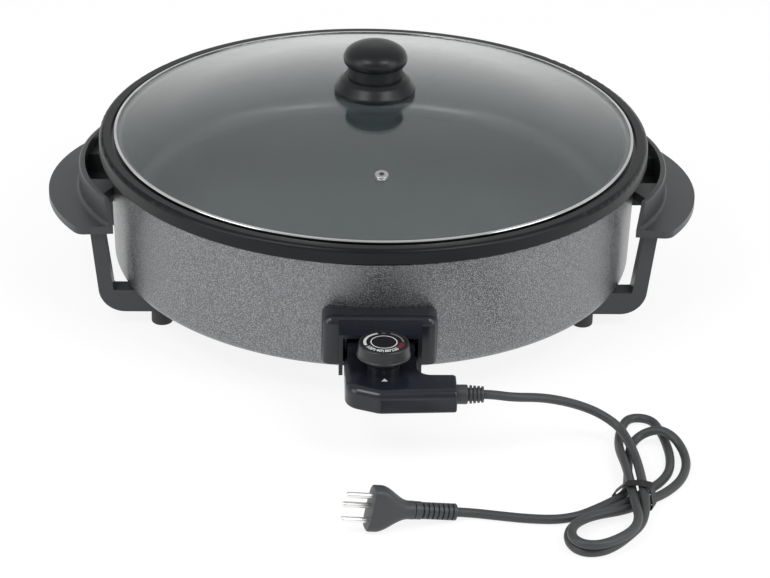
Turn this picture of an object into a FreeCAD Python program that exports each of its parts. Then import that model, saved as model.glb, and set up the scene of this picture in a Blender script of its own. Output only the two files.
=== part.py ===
import FreeCAD, Part
import math
import os

V = FreeCAD.Vector

# Driving dimensions in millimetres. The origin is on the table under the pan's axis, X to the
# right-hand handle, Y to the back, Z up.

# Rim, pan and shell
RIM_OUTER_R = 210.0
RIM_INNER_R = 201.1
RIM_TOP = 132.0
RIM_BOTTOM = 119.5
SEAT_Z = 128.4            # ledge that the lid rests on
FLANGE_BOTTOM = 126.0
FLANGE_R = 205.0
PAN_TOP_R = 192.0
PAN_FLOOR_R = 186.0
PAN_FLOOR_Z = 68.0
PAN_UNDERSIDE_Z = 63.5
PAN_WALL = 2.6
PAN_CORNER_R = 14.0
SHELL_TOP_R = 202.2
SHELL_LOW_R = 199.4
SHELL_BOTTOM_Z = 30.0
SHELL_T = 1.2
SHELL_CORNER_R = 8.5
SHELL_FLANGE_R = 148.0

# Lid
DOME_R = 574.1
DOME_APEX_Z = 165.0
GLASS_T = 3.5
GLASS_EDGE_R = 198.2
GLASS_EDGE_Z = 132.65
BAND_OUTER_R = 198.9
BAND_TOP_Z = 133.4
BAND_LIP_R = 196.7
VENT_XY = (2.0, -125.0)
KNOB_SKIRT_R = 31.0
KNOB_NECK_R = 21.0
KNOB_CAP_R = 24.4
KNOB_NECK_TOP = 187.0
KNOB_TOP = 203.4

# Heating element and the plug-in probe, all on one level under the pan floor
PROBE_Z = 60.0
PIN_X = 13.0
PIN_D = 5.0
ELEMENT_RING_R = 140.0
ELEMENT_D = 7.0
ELEMENT_END_Y = -190.0
PROBE_D = 5.4
WELL_BORE_D = 5.6
WELL_D = 7.0

# Socket guard on the front of the shell
GUARD_HALF_X = 41.3
GUARD_BOTTOM = 45.5
GUARD_TOP = 82.5
GUARD_FRONT_Y = -218.0
GUARD_TOP_ROUND = 7.0
HOOD_HALF_X = 29.3
HOOD_INNER_HALF_X = 26.5
HOOD_FRONT_Y = -233.0
HOOD_BOTTOM = 44.7
MOUTH_TOP = 74.0

# Plug-in thermostat
HOUSING_BOTTOM = 44.0
HOUSING_SPLIT = 49.0
HOUSING_TOP = 61.0
HOUSING_WALL = 2.2
HOUSING_FRONT_ROUND = 6.0
HOUSING_END_ROUND = 1.5
NOSE_TOP = 69.5
NOSE_BACK_Y = -206.0
NOSE_FRONT_Y = -236.0
DIAL_X, DIAL_Y = 1.5, -253.0
DIAL_R = 19.0
DIAL_BOTTOM = 71.6
DIAL_TOP = 82.3
CORD_EXIT = (71.0, -273.0, 52.0)

# Handles and legs; each handle curves about a centre inside the pan
BOW_CENTRE_X = 92.0
BOW_R = 134.0
BOW_INNER_CENTRE_X = 80.0    # the bow thins towards its ends
BOW_INNER_R = 141.5
BOW_TOP = 108.5
BOW_END_Y = 75.5          # half width of the bow's slanted ends at its top edge
WING_CENTRE_X = 115.4
WING_R = 134.2
WING_HALF_Y = 81.0
WING_TOP = 87.0           # where the wing meets the bow
WING_FALL = 2.0           # drop of the wing over its width
WING_T = 5.2
LUG_INNER_Y = 23.0
POCKET_FLOOR_Z = 84.0      # floor of the finger recess between the lugs
FLOOR_T = 2.6
LUG_Z = (92.0, 99.0)
LUG_SCREW_Y, LUG_SCREW_Z = 31.0, 95.5
LEG_Y = (-74.0, -59.0)
FOOT_X, FOOT_Y = 161.0, -66.5
FOOT_D = 16.4
ARM_BOTTOM = 12.0

# Supply cord
CORD_D = 6.5
TIE_WIDTH = 8.0
TIE_T = 0.6
PLUG_FACE = V(-10.3, -369.7, 18.3)      # centre of the pin face
PLUG_END = V(48.5, -354.0, 5.9)         # where the cord leaves the plug's sleeve
PLUG_AXIS = (PLUG_END - PLUG_FACE).normalize()
PIN_SPACING = 19.0

# Whole cord from the thermostat to the plug. It comes down to the table, crosses two loops, turns
# back in a lower loop, rises into the upper loop, repeats both and leaves for the plug.
CORD_ROUTE = [
    (71, -273, 52), (77, -273, 52), (91, -273.8, 50.3), (111, -267, 46.5), (127.5, -258, 39),
    (143, -249.5, 30), (157, -245, 21.3), (170, -250, 14), (175, -265.5, 11.5), (177.5, -283, 11.5),
    (178.5, -303, 12.5), (178.3, -323.5, 14.3), (178, -340, 14.6), (178.4, -353, 9.8), (175, -365, 3.9),
    (165, -379, 3.3), (155, -391.3, 3.3), (144.3, -399.7, 3.3), (132.3, -401, 3.3), (124, -392.5, 3.3),
    (122.8, -378, 3.3), (129, -366, 4.4), (140.5, -357.3, 4.9), (154.8, -347.6, 4.3), (169, -337, 4.4),
    (181.5, -323.5, 4.2), (193, -311, 3.3), (201.5, -295.5, 3.3), (204.5, -276.5, 3.3),
    (204, -257, 3.3), (202, -239.5, 3.3), (197, -220.5, 3.3), (180.5, -218.5, 3.3), (173, -237, 3.3),
    (169.5, -257.5, 4), (168.5, -279, 9.1), (170, -300, 11.4), (170.6, -320, 11.6), (170.8, -338, 11.8),
    (171.2, -355, 12), (171.9, -369.5, 11.3), (167, -383.5, 10.6), (155, -395.5, 10.5),
    (142, -403, 10.5), (130.5, -402, 10.5), (124, -393, 10.5), (125.5, -380, 10.6), (134, -369.3, 10.1),
    (147, -360.8, 8.9), (159.5, -353.3, 6.4), (171, -344.5, 4.4), (183.5, -335, 4.4),
    (196.5, -323, 3.3), (208.5, -307, 3.3), (215, -286.5, 3.3), (214.5, -269, 5.1), (208.5, -258, 10.4),
    (199, -252, 12.8), (190, -249, 8.5), (183, -251.5, 5), (178.5, -259, 3.3), (176, -270, 3.3),
    (173.5, -285, 3.3), (171.5, -304, 3.3), (168.3, -326, 4.1), (157.5, -336.8, 4.1),
    (144.4, -346.3, 3.3), (132, -355, 3.3), (117, -359.3, 3.3), (98.5, -358.3, 3.3),
    (79.5, -354.8, 3.3), (60, -350.9, 3.5), (48.5, -354, 5.9)]
LEAD_LAST = 10            # the free stretch ends halfway to the next point
BUNDLE_LAST = 66          # so does the bundle


# Helpers

def box(x0, x1, y0, y1, z0, z1):
    return Part.makeBox(x1 - x0, y1 - y0, z1 - z0, V(x0, y0, z0))


def rod(diameter, start, end):
    axis = end - start
    return Part.makeCylinder(diameter / 2, axis.Length, start, axis)


def closed_wire(points, place):
    """Closed outline through (u, v) or (u, v, r) points, where r rounds that corner."""
    count = len(points)
    edges, ends = [], []
    for i, point in enumerate(points):
        here = V(point[0], point[1], 0)
        radius = point[2] if len(point) > 2 else 0
        before = V(points[i - 1][0], points[i - 1][1], 0)
        after = V(points[(i + 1) % count][0], points[(i + 1) % count][1], 0)
        if radius == 0:
            ends.append((here, here, here))
            continue
        u, v = (before - here).normalize(), (after - here).normalize()
        half = math.acos(max(-1, min(1, u.dot(v)))) / 2
        inward = (u + v).normalize()
        centre = here + inward * (radius / math.sin(half))
        reach = radius / math.tan(half)
        ends.append((here + u * reach, centre - inward * radius, here + v * reach))
    for i, (first, middle, last) in enumerate(ends):
        a, m, b = (place(p.x, p.y) for p in (first, middle, last))
        if (b - a).Length > 1e-6:
            edges.append(Part.Arc(a, m, b).toShape())
        following = place(ends[(i + 1) % count][0].x, ends[(i + 1) % count][0].y)
        if (following - b).Length > 1e-6:
            edges.append(Part.LineSegment(b, following).toShape())
    return Part.Wire(edges)


def turned(points, x=0.0, y=0.0):
    """Solid of revolution about the vertical line at (x, y) from (radius, z) points."""
    face = Part.Face(closed_wire(points, lambda u, v: V(x + u, y, v)))
    return face.revolve(V(x, y, 0), V(0, 0, 1), 360)


def raised(points, z0, z1):
    """Plan outline of (x, y) points between two levels."""
    face = Part.Face(closed_wire(points, lambda u, v: V(u, v, z0)))
    return face.extrude(V(0, 0, z1 - z0))


def across(points, y0, y1):
    """Outline of (x, z) points between two depths."""
    face = Part.Face(closed_wire(points, lambda u, v: V(u, y0, v)))
    return face.extrude(V(0, y1 - y0, 0))


def turned_along(points, origin, direction):
    """Solid of revolution from (distance, radius) points along a direction."""
    face = Part.Face(closed_wire(points, lambda u, v: V(v, 0, u)))
    solid = face.revolve(V(0, 0, 0), V(0, 0, 1), 360)
    solid.Placement = FreeCAD.Placement(origin, FreeCAD.Rotation(V(0, 0, 1), direction))
    return solid


def mirrored_x(shape):
    return shape.mirror(V(0, 0, 0), V(1, 0, 0))


def mirrored_y(shape):
    return shape.mirror(V(0, 0, 0), V(0, 1, 0))


def together(shapes):
    return Part.makeCompound(shapes)


def edges_where(shape, test):
    return [e for e in shape.Edges if test(e.BoundBox)]


def save(name, shape):
    if shape.ShapeType != "Solid" and len(shape.Solids) == 1:
        shape = shape.Solids[0]
    if not shape.isValid():
        print("INVALID", name)
    print(name, "solids", len(shape.Solids), "volume", round(shape.Volume))
    shape.exportStep("parts/" + name + ".step")
    return shape


# Pan, shell and rim

def cooking_pan():
    outer_floor_r = PAN_FLOOR_R + PAN_WALL
    return turned([
        (0, PAN_FLOOR_Z), (PAN_FLOOR_R, PAN_FLOOR_Z, PAN_CORNER_R), (PAN_TOP_R, SEAT_Z, 1.5),
        (FLANGE_R, SEAT_Z), (FLANGE_R, FLANGE_BOTTOM), (PAN_TOP_R + PAN_WALL, FLANGE_BOTTOM, 1.0),
        (outer_floor_r, PAN_UNDERSIDE_Z, PAN_CORNER_R + PAN_WALL), (0, PAN_UNDERSIDE_Z)])


def shell_profile_outer():
    return [(SHELL_TOP_R, FLANGE_BOTTOM), (SHELL_LOW_R, SHELL_BOTTOM_Z, SHELL_CORNER_R)]


def shell_envelope():
    """Everything inside the outer face of the shell, for cutting what is fitted against it."""
    return turned(shell_profile_outer() + [(0, SHELL_BOTTOM_Z), (0, FLANGE_BOTTOM)])


def hammered_shell():
    inner = [(SHELL_FLANGE_R, SHELL_BOTTOM_Z), (SHELL_FLANGE_R, SHELL_BOTTOM_Z + SHELL_T),
             (SHELL_LOW_R - SHELL_T, SHELL_BOTTOM_Z + SHELL_T, SHELL_CORNER_R - SHELL_T),
             (SHELL_TOP_R - SHELL_T, FLANGE_BOTTOM)]
    shell = turned(shell_profile_outer() + inner)
    shell = shell.cut(box(-21.3, 21.3, -215, -185, 51.7, 68.3))
    for hole in shell_holes():
        shell = shell.cut(hole)
    return shell


def shell_holes():
    holes = [rod(4.4, V(sx * 180, sy * LUG_SCREW_Y, LUG_SCREW_Z),
                 V(sx * 215, sy * LUG_SCREW_Y, LUG_SCREW_Z)) for sx in (-1, 1) for sy in (-1, 1)]
    holes += [rod(3.6, V(sx * 35, -180, 64), V(sx * 35, -215, 64)) for sx in (-1, 1)]
    holes += [rod(4.4, V(sx * FOOT_X, sy * FOOT_Y, 25), V(sx * FOOT_X, sy * FOOT_Y, 35))
              for sx in (-1, 1) for sy in (-1, 1)]
    holes += [rod(3.6, V(x, y, 25), V(x, y, 35)) for x, y in cover_screw_places()]
    return holes


def cover_screw_places():
    return [(152.5, 0), (-152.5, 0), (0, 152.5), (0, -152.5)]


def rim_collar():
    """C-section ring that clasps the pan's flange and the top edge of the shell."""
    gap = 0.1
    return turned([
        (SHELL_TOP_R + gap, RIM_BOTTOM, 0.8), (RIM_OUTER_R + 0.3, RIM_BOTTOM, 1.6),
        (RIM_OUTER_R, RIM_TOP, 3.4), (RIM_INNER_R, RIM_TOP, 0.8), (RIM_INNER_R, SEAT_Z + gap),
        (FLANGE_R + gap, SEAT_Z + gap), (FLANGE_R + gap, FLANGE_BOTTOM - gap),
        (SHELL_TOP_R + gap, FLANGE_BOTTOM - gap)])


def base_cover():
    plate = turned([(0, 28.8), (157, 28.8), (157, 30), (0, 30)])
    for x, y in cover_screw_places():
        plate = plate.cut(rod(3.6, V(x, y, 25), V(x, y, 35)))
    for k in range(12):
        slot = box(70, 100, -2.5, 2.5, 27, 32)
        slot.rotate(V(0, 0, 0), V(0, 0, 1), 30 * k + 15)
        plate = plate.cut(slot)
    return plate


def cover_screws():
    return together([turned([(0, 26.6), (3.4, 26.6, 1.2), (3.4, 28.8), (1.75, 28.8), (1.75, 36),
                             (0, 36)], x, y) for x, y in cover_screw_places()])


# Heater and sensor

def element_wire():
    """Centre line of the tubular element: a ring with both ends turned out to the front."""
    bend = 15.0
    centre_x = PIN_X + bend
    centre_y = -math.sqrt((ELEMENT_RING_R + bend) ** 2 - centre_x ** 2)
    scale = ELEMENT_RING_R / (ELEMENT_RING_R + bend)
    join = V(centre_x * scale, centre_y * scale, PROBE_Z)
    centre = V(centre_x, centre_y, PROBE_Z)
    middle_dir = ((join - centre).normalize() + V(-1, 0, 0)).normalize()
    bend_mid = centre + middle_dir * bend
    start, bend_start = V(PIN_X, ELEMENT_END_Y, PROBE_Z), V(PIN_X, centre_y, PROBE_Z)

    def other(p):
        return V(-p.x, p.y, p.z)
    edges = [Part.LineSegment(start, bend_start).toShape(),
             Part.Arc(bend_start, bend_mid, join).toShape(),
             Part.Arc(join, V(ELEMENT_RING_R, 0, PROBE_Z), V(0, ELEMENT_RING_R, PROBE_Z)).toShape(),
             Part.Arc(V(0, ELEMENT_RING_R, PROBE_Z), V(-ELEMENT_RING_R, 0, PROBE_Z),
                      other(join)).toShape(),
             Part.Arc(other(join), other(bend_mid), other(bend_start)).toShape(),
             Part.LineSegment(other(bend_start), other(start)).toShape()]
    return Part.Wire(edges)


def heating_element():
    section = Part.Wire(Part.makeCircle(ELEMENT_D / 2, V(PIN_X, ELEMENT_END_Y, PROBE_Z), V(0, 1, 0)))
    return element_wire().makePipeShell([section], True, False)


def element_clips():
    """Three saddles that hold the element up against the pan floor."""
    clips = []
    for angle in (90, 210, 330):
        clip = box(130, 150, -6, 6, 54.6, PAN_UNDERSIDE_Z)
        clip = clip.cut(box(131.5, 148.5, -7, 7, 56.2, PAN_UNDERSIDE_Z + 1))
        clip.rotate(V(0, 0, 0), V(0, 0, 1), angle)
        clips.append(clip)
    return together(clips)


def terminal_pins():
    pins = [turned_along([(0, 0), (0, PIN_D / 2), (32, PIN_D / 2, 1.2), (32, 0)],
                         V(sx * PIN_X, ELEMENT_END_Y, PROBE_Z), V(0, -1, 0)) for sx in (-1, 1)]
    return together(pins)


def sensor_well():
    tube = rod(WELL_D, V(0, -204, PROBE_Z), V(0, -118, PROBE_Z))
    return tube.cut(rod(WELL_BORE_D, V(0, -205, PROBE_Z), V(0, -119.5, PROBE_Z)))


def inlet_insulator():
    block = box(-21, 21, -205.5, -196, 52, 68)
    block = block.makeFillet(2.5, edges_where(block, lambda b: b.YLength > 9))
    flange = box(-24.5, 24.5, -203.4, -190, 49.5, 68).cut(shell_envelope())
    block = block.fuse(flange).removeSplitter()
    for x, d in ((-PIN_X, PIN_D), (PIN_X, PIN_D), (0, WELL_D)):
        block = block.cut(rod(d, V(x, -210, PROBE_Z), V(x, -190, PROBE_Z)))
    return block


def earth_contact():
    """Spring blade under the guard's roof; its foot stands on the insulator."""
    profile = [(-226, 70.1), (-205.2, 70.1), (-205.2, 68), (-201, 68), (-201, 71), (-226, 71)]
    face = Part.Face(closed_wire(profile, lambda y, z: V(-6, y, z)))
    return face.extrude(V(12, 0, 0))


# Socket guard

def socket_guard():
    body = box(-GUARD_HALF_X, GUARD_HALF_X, GUARD_FRONT_Y, -150, GUARD_BOTTOM, GUARD_TOP)
    upright = edges_where(body, lambda b: b.ZLength > 30 and b.YMin < GUARD_FRONT_Y + 1)
    body = body.makeFillet(7.5, upright)
    top = edges_where(body, lambda b: b.ZMin > GUARD_TOP - 0.1 and b.YMin < -170)
    shown = [e for e in top if e.BoundBox.YMax < -151 or e.BoundBox.YLength > 30]
    body = body.makeFillet(GUARD_TOP_ROUND, shown)
    hood = box(-HOOD_HALF_X, HOOD_HALF_X, HOOD_FRONT_Y, -150, HOOD_BOTTOM, 80.0)
    slope = Part.Face(closed_wire([(HOOD_FRONT_Y - 1, 76.6), (GUARD_FRONT_Y + 1, 80.2),
                                   (GUARD_FRONT_Y + 1, 90), (HOOD_FRONT_Y - 1, 90)],
                                  lambda u, v: V(-50, u, v))).extrude(V(100, 0, 0))
    hood = hood.cut(slope)
    hood = hood.cut(box(-50, 50, GUARD_FRONT_Y + 1, -140, 40, GUARD_BOTTOM))
    guard = body.fuse(hood).removeSplitter()
    guard = guard.cut(box(-HOOD_INNER_HALF_X, HOOD_INNER_HALF_X, HOOD_FRONT_Y - 5, -140,
                          GUARD_BOTTOM + 2.5, MOUTH_TOP))
    guard = guard.cut(box(-HOOD_INNER_HALF_X, HOOD_INNER_HALF_X, HOOD_FRONT_Y - 5, GUARD_FRONT_Y,
                          40, GUARD_BOTTOM + 3))
    for side in (-1, 1):
        pocket = box(29.5, 37.0, -214.0, -140, 48.2, 77.5)
        pocket = pocket.cut(rod(7.0, V(35, -216, 64), V(35, -140, 64)))
        guard = guard.cut(pocket if side > 0 else mirrored_x(pocket))
    guard = guard.cut(shell_envelope())
    for side in (-1, 1):
        guard = guard.cut(rod(3.0, V(side * 35, -190, 64), V(side * 35, -212, 64)))
    return guard


def guard_screws():
    return together([turned_along([(0, 0), (0, 3.2), (2.2, 3.2), (2.2, 1.45), (17, 1.45), (17, 0)],
                                  V(side * 35, -193.0, 64), V(0, -1, 0)) for side in (-1, 1)])


# Handles, legs and feet

def handle_right(envelope):
    """Flat wing under a raised bow with slanted ends. Two lugs and the floor of the finger recess
    between them reach in to the shell."""
    far_r = 160.0
    far_fall = WING_FALL * (far_r - BOW_R) / (WING_CENTRE_X + WING_R - BOW_CENTRE_X - BOW_R)
    section = turned([(110, BOW_TOP), (BOW_R, BOW_TOP, 2.0), (BOW_R, WING_TOP, 3.0),
                      (far_r, WING_TOP - far_fall), (far_r, WING_TOP - far_fall - WING_T),
                      (110, WING_TOP - WING_T)], BOW_CENTRE_X)
    plan = Part.makeCylinder(WING_R, 60, V(WING_CENTRE_X, 0, 60))
    plan = plan.common(box(150, 260, -WING_HALF_Y, WING_HALF_Y, 60, 120))
    corners = edges_where(plan, lambda b: b.ZLength > 50 and b.XMin > 200)
    inside = Part.makeCylinder(BOW_INNER_R, 60, V(BOW_INNER_CENTRE_X, 0, 70))
    grip = section.common(plan.makeFillet(10.0, corners)).cut(inside)
    slanted = [(WING_HALF_Y, WING_TOP), (BOW_END_Y, BOW_TOP), (BOW_END_Y, BOW_TOP + 5),
               (WING_HALF_Y + 5, BOW_TOP + 5), (WING_HALF_Y + 5, WING_TOP)]
    end = Part.Face(closed_wire(slanted, lambda y, z: V(150, y, z))).extrude(V(110, 0, 0))
    grip = grip.cut(end).cut(mirrored_y(end))
    bow_side = Part.makeCylinder(BOW_INNER_R + 1, 40, V(BOW_INNER_CENTRE_X, 0, 70))
    lug = raised([(150, LUG_INNER_Y), (225, LUG_INNER_Y), (225, 60), (207.5, 54), (197, 34),
                  (150, 34)], *LUG_Z)
    lug = lug.fuse(box(150, 225, LUG_INNER_Y, LUG_INNER_Y + FLOOR_T, POCKET_FLOOR_Z, LUG_Z[0]))
    pocket_floor = box(150, 225, -LUG_INNER_Y - FLOOR_T, LUG_INNER_Y + FLOOR_T,
                       POCKET_FLOOR_Z - FLOOR_T, POCKET_FLOOR_Z)
    for reach_in in (lug, mirrored_y(lug), pocket_floor):
        grip = grip.fuse(reach_in.common(bow_side).cut(envelope))
    grip = grip.removeSplitter()
    for s in (-1, 1):
        grip = grip.cut(rod(3.9, V(190, s * LUG_SCREW_Y, LUG_SCREW_Z),
                            V(213, s * LUG_SCREW_Y, LUG_SCREW_Z)))
    return grip


def handle_screws():
    one = turned_along([(0, 0), (0, 3.8), (2.8, 3.8), (2.8, 1.95), (16.5, 1.95), (16.5, 0)],
                       V(194.0, LUG_SCREW_Y, LUG_SCREW_Z), V(1, 0, 0))
    return together([one, mirrored_y(one), mirrored_x(one), mirrored_x(mirrored_y(one))])


def leg_front_right(handle):
    """J-shaped moulded leg: upright under the handle, foot arm turned in under the base."""
    leg = across([(204.4, 86), (214.7, 86), (206.6, ARM_BOTTOM, 20), (150, ARM_BOTTOM, 2),
                  (150, SHELL_BOTTOM_Z, 0.5), (197.2, SHELL_BOTTOM_Z, 1)], LEG_Y[0], LEG_Y[1])
    leg = leg.cut(handle)
    leg = max(leg.Solids, key=lambda s: s.Volume)
    leg = leg.cut(rod(4.4, V(FOOT_X, FOOT_Y, 10), V(FOOT_X, FOOT_Y, 35)))
    return leg.cut(rod(9.0, V(FOOT_X, FOOT_Y, 10), V(FOOT_X, FOOT_Y, 18)))


def foot_front_right():
    return turned([(0, 0), (FOOT_D / 2, 0, 1.5), (FOOT_D / 2, ARM_BOTTOM), (4.4, ARM_BOTTOM),
                   (4.4, 14.8), (0, 14.8)], FOOT_X, FOOT_Y)


def leg_screws():
    one = turned([(0, 15), (4.0, 15), (4.0, 18), (2.0, 18), (2.0, 38), (0, 38)], FOOT_X, FOOT_Y)
    return together([one, mirrored_x(one), mirrored_y(one), mirrored_x(mirrored_y(one))])


def leg_nuts():
    corners = [(FOOT_X + 4 * math.cos(math.radians(60 * k)), FOOT_Y + 4 * math.sin(math.radians(60 * k)))
               for k in range(6)]
    one = raised(corners, SHELL_BOTTOM_Z + SHELL_T, SHELL_BOTTOM_Z + SHELL_T + 3.2)
    one = one.cut(rod(4.0, V(FOOT_X, FOOT_Y, 25), V(FOOT_X, FOOT_Y, 40)))
    return together([one, mirrored_x(one), mirrored_y(one), mirrored_x(mirrored_y(one))])


# Lid

def dome_height(radius, thickness=0.0):
    ball = DOME_R - thickness
    return DOME_APEX_Z - thickness - (ball - math.sqrt(ball ** 2 - radius ** 2))


def lid_glass():
    outer_r, inner_r = 190.0, 189.0
    low = GLASS_EDGE_Z - GLASS_T
    points = [V(0, 0, DOME_APEX_Z), V(outer_r / 2, 0, dome_height(outer_r / 2)),
              V(outer_r, 0, GLASS_EDGE_Z), V(GLASS_EDGE_R, 0, GLASS_EDGE_Z),
              V(GLASS_EDGE_R, 0, low), V(inner_r, 0, low),
              V(inner_r / 2, 0, dome_height(inner_r / 2, GLASS_T)),
              V(0, 0, DOME_APEX_Z - GLASS_T)]
    edges = [Part.Arc(points[0], points[1], points[2]).toShape(),
             Part.LineSegment(points[2], points[3]).toShape(),
             Part.LineSegment(points[3], points[4]).toShape(),
             Part.LineSegment(points[4], points[5]).toShape(),
             Part.Arc(points[5], points[6], points[7]).toShape(),
             Part.LineSegment(points[7], points[0]).toShape()]
    glass = Part.Face(Part.Wire(edges)).revolve(V(0, 0, 0), V(0, 0, 1), 360)
    glass = glass.cut(rod(6.4, V(0, 0, 150), V(0, 0, 170)))
    point, normal = vent_frame()
    return glass.cut(rod(8.0, point - normal * 10, point + normal * 10))


def vent_frame():
    x, y = VENT_XY
    z = dome_height(math.hypot(x, y))
    normal = V(x, y, z - (DOME_APEX_Z - DOME_R)).normalize()
    return V(x, y, z), normal


def lid_ring():
    """Steel band folded round the glass edge, its folds flattened to narrow bevels. The lower lip is
    what rests in the pan."""
    sheet = 0.6
    seat = SEAT_Z + 0.1
    return turned([
        (BAND_OUTER_R - 0.5, seat), (BAND_OUTER_R, seat + 0.5), (BAND_OUTER_R, BAND_TOP_Z - 0.7),
        (BAND_OUTER_R - 0.2, BAND_TOP_Z - 0.2), (BAND_OUTER_R - 0.7, BAND_TOP_Z), (BAND_LIP_R, BAND_TOP_Z),
        (BAND_LIP_R, BAND_TOP_Z - sheet), (BAND_OUTER_R - sheet, BAND_TOP_Z - sheet),
        (BAND_OUTER_R - sheet, seat + sheet), (BAND_LIP_R, seat + sheet), (BAND_LIP_R, seat)])


def vent_grommet():
    point, normal = vent_frame()
    return turned_along([(-GLASS_T - 0.9, 2.0), (1.0, 2.0), (1.0, 5.0, 0.6), (0.05, 5.0),
                         (0.05, 3.9), (-GLASS_T - 0.05, 3.9), (-GLASS_T - 0.05, 5.0),
                         (-GLASS_T - 0.9, 5.0)], point, normal)


def knob_gasket():
    disc = turned([(3.4, 160), (26, 160), (26, 166.2), (3.4, 166.2)])
    ball = Part.makeSphere(DOME_R, V(0, 0, DOME_APEX_Z - DOME_R))
    return disc.cut(ball)


def knob_neck():
    """Skirt, sloping shoulder and waist of the knob; its rim stands just clear of the glass."""
    lip = 26.3
    return turned([
        (3.4, 166.3), (lip, 166.3), (lip, 164.8), (KNOB_SKIRT_R, 164.8, 0.8),
        (KNOB_SKIRT_R, 168.5, 1.5), (26.6, 174.6, 4.0), (23.4, 177.0, 1.2), (KNOB_NECK_R, 177.3),
        (KNOB_NECK_R, KNOB_NECK_TOP), (3.4, KNOB_NECK_TOP)])


def knob_cap():
    """Flattened ball with a turned-in lower edge."""
    outline = Part.BSplineCurve()
    outline.interpolate([V(0, 0, KNOB_TOP), V(12, 0, 202.5), V(18.6, 0, 200.0), V(22.9, 0, 196.2),
                         V(KNOB_CAP_R, 0, 191.8), V(24.0, 0, 189.2), V(22.6, 0, KNOB_NECK_TOP)],
                        InitialTangent=V(1, 0, 0), FinalTangent=V(-1, 0, -1))
    edges = [outline.toShape(),
             Part.LineSegment(V(22.6, 0, KNOB_NECK_TOP), V(0, 0, KNOB_NECK_TOP)).toShape(),
             Part.LineSegment(V(0, 0, KNOB_NECK_TOP), V(0, 0, KNOB_TOP)).toShape()]
    cap = Part.Face(Part.Wire(edges)).revolve(V(0, 0, 0), V(0, 0, 1), 360)
    return cap.cut(rod(5.0, V(0, 0, KNOB_NECK_TOP - 1), V(0, 0, 199.5)))


def knob_screw():
    return turned([(0, 157.0), (5.5, 157.0, 1.2), (5.5, 159.8), (2.5, 159.8), (2.5, 199.5),
                   (0, 199.5)])


def knob_washer():
    disc = turned([(2.7, 159.9), (9, 159.9), (9, 164), (2.7, 164)])
    return disc.common(Part.makeSphere(DOME_R - GLASS_T, V(0, 0, DOME_APEX_Z - DOME_R)))


# Plug-in thermostat

def housing_plan(end_round):
    return [(-25.6, -234.6), (-25.6, -278.5, 14), (-2.0, -288.6, 12), (52, -286, end_round),
            (52, -260.2, 2.5), (25.9, -260.2, 9), (25.9, -234.6)]


def housing_cavity_plan():
    return [(-23.4, -236.8), (-23.4, -277.0, 11.8), (-1.6, -286.3, 9.8), (49.8, -283.8, 1),
            (49.8, -262.4, 1), (23.7, -262.4, 11), (23.7, -236.8)]


def controller_cover():
    """Upper moulding, rounded generously along its front and little at the cord's end and behind."""
    body = raised(housing_plan(0), HOUSING_SPLIT, HOUSING_TOP)
    front = edges_where(body, lambda b: b.ZMin > HOUSING_TOP - 0.1 and b.XMax > 50 and b.YMax < -280)
    body = body.makeFillet(HOUSING_FRONT_ROUND, front)
    end = edges_where(body, lambda b: b.XMin > 51.9 and b.YMin < -279 and b.ZMax > HOUSING_SPLIT + 1)
    body = body.makeFillet(HOUSING_END_ROUND, end)
    nose = box(-23.4, 24.2, NOSE_FRONT_Y, NOSE_BACK_Y, HOUSING_SPLIT, NOSE_TOP)
    nose = nose.makeFillet(2.0, edges_where(nose, lambda b: b.ZMin > NOSE_TOP - 0.1 and b.YLength > 20))
    cover = body.fuse(nose).removeSplitter()
    cover = cover.cut(raised(housing_cavity_plan(), HOUSING_SPLIT - 1, HOUSING_TOP - 3.7))
    cover = cover.cut(box(-12, 15, -264, -240, HOUSING_SPLIT, HOUSING_TOP - HOUSING_WALL))
    cover = cover.cut(box(-21.2, 22.0, -240, NOSE_BACK_Y - 2, HOUSING_SPLIT + 2, 58.8))
    cover = cover.cut(box(-21.2, 22.0, NOSE_FRONT_Y + 2, NOSE_BACK_Y - 2, 58, NOSE_TOP - 2.2))
    for x, d in ((-PIN_X, 7.0), (PIN_X, 7.0), (0, PROBE_D)):
        cover = cover.cut(rod(d, V(x, -209, PROBE_Z), V(x, -200, PROBE_Z)))
    cover = cover.cut(rod(PROBE_D, V(0, -240, PROBE_Z), V(0, -230, PROBE_Z)))
    cover = cover.cut(rod(12.0, V(DIAL_X, DIAL_Y, 55), V(DIAL_X, DIAL_Y, 65)))
    cover = cover.cut(rod(8.0, V(45, -273, 52), V(55, -273, 52)))
    for x, y in housing_screw_places():
        post = rod(6.0, V(x, y, HOUSING_SPLIT), V(x, y, HOUSING_TOP - 1))
        cover = cover.fuse(post.cut(rod(2.4, V(x, y, 45), V(x, y, 57))))
    return cover


def housing_screw_places():
    return [(-19.4, -241), (19.7, -241), (-18.5, -262), (40, -266.6), (12, -280.5)]


def controller_base():
    base = raised(housing_plan(HOUSING_END_ROUND), HOUSING_BOTTOM, HOUSING_SPLIT)
    base = base.makeFillet(2.0, edges_where(base, lambda b: b.ZMax < HOUSING_BOTTOM + 0.1))
    base = base.cut(raised(housing_cavity_plan(), HOUSING_BOTTOM + HOUSING_WALL, HOUSING_SPLIT + 1))
    for x, y in housing_screw_places():
        base = base.fuse(rod(7.0, V(x, y, HOUSING_BOTTOM + 1), V(x, y, HOUSING_SPLIT)))
        base = base.cut(rod(3.0, V(x, y, 40), V(x, y, 50)))
        base = base.cut(rod(5.4, V(x, y, 40), V(x, y, HOUSING_BOTTOM + 2.4)))
    return base.cut(rod(8.0, V(45, -273, 52), V(55, -273, 52)))


def housing_screws():
    return together([turned([(0, 44.2), (2.5, 44.2), (2.5, 46.3), (1.15, 46.3), (1.15, 56.5), (0, 56.5)],
                            x, y) for x, y in housing_screw_places()])


def probe_rod():
    return turned_along([(0, 0), (0, PROBE_D / 2), (112, PROBE_D / 2), (114, 1.2), (114, 0)],
                        V(0, -238, PROBE_Z), V(0, 1, 0))


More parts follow.
